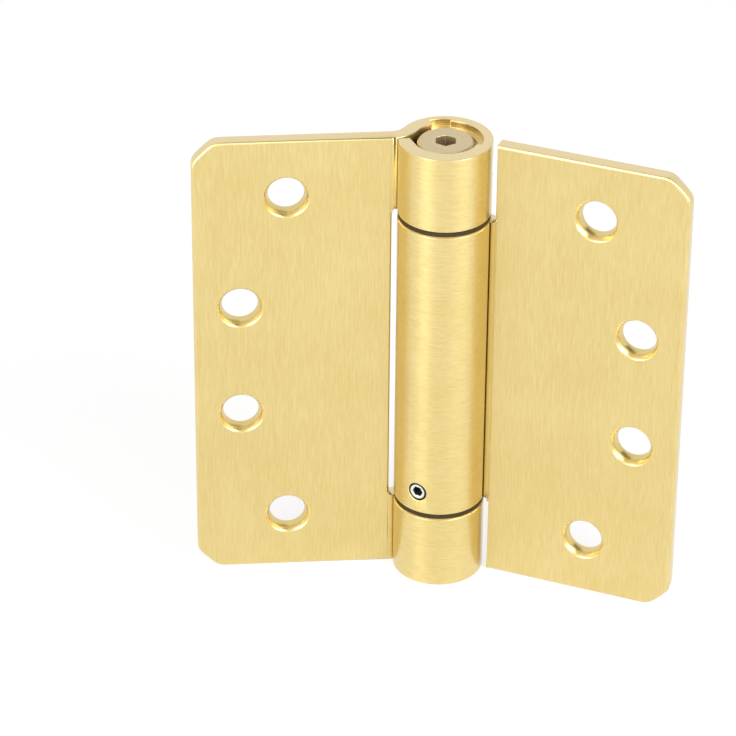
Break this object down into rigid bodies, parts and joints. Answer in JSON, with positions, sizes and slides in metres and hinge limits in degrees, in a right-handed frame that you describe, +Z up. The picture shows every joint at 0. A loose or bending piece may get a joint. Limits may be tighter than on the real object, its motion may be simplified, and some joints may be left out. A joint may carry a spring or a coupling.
{
  "type": "spring loaded door hinge",
  "caption": "Square-leaf spring hinge with rolled knuckles, staggered countersunk holes, an enclosed torsion spring and a hexagon tension plug.",
  "frame": {"origin": "on the barrel axis at the lower end of the barrel", "axes": "+Z up along the barrel axis; the frame leaf lies along -X and its countersunk front faces -Y; the door leaf is 26 degrees short of lying flat along +X"},
  "size_m": [0.0981, 0.0314, 0.1016],
  "materials": {
    "satin_brass": "satin brass plating, brushed lengthways",
    "cap_brass": "satin brass plating",
    "plug_steel": "turned, pale plating",
    "turned_steel": "turned steel",
    "pin_steel": "ground steel",
    "spring_steel": "oiled spring wire",
    "screw_steel": "bright zinc",
    "dark_nylon": "dark moulded nylon",
    "washer_bronze": "plain strip"
  },
  "bodies": {
    "frame": {"frame_leaf": "satin_brass", "bottom_cap": "cap_brass", "lower_bushing": "dark_nylon", "lower_washer": "washer_bronze"},
    "door": {"door_leaf": "satin_brass", "set_screw": "screw_steel", "lower_spindle": "turned_steel", "guide_rod": "turned_steel", "torsion_spring": "spring_steel", "upper_bushing": "dark_nylon", "upper_washer": "washer_bronze"},
    "adjuster": {"tension_plug": "plug_steel", "tension_pin": "pin_steel"}
  },
  "joints": [
    {"name": "leaf_swing", "type": "hinge", "parent": "frame", "child": "door", "pos_m": [0, 0, 0.0508], "axis": [0, 0, 1], "range_deg": [-154, 26], "stiffness_Nm_per_rad": 0.62, "deforming": ["torsion_spring"]},
    {"name": "tension_turn", "type": "hinge", "parent": "frame", "child": "adjuster", "pos_m": [0, 0, 0.096], "axis": [0, 0, 1], "range_deg": [-72, 0], "deforming": ["torsion_spring"]}
  ]
}
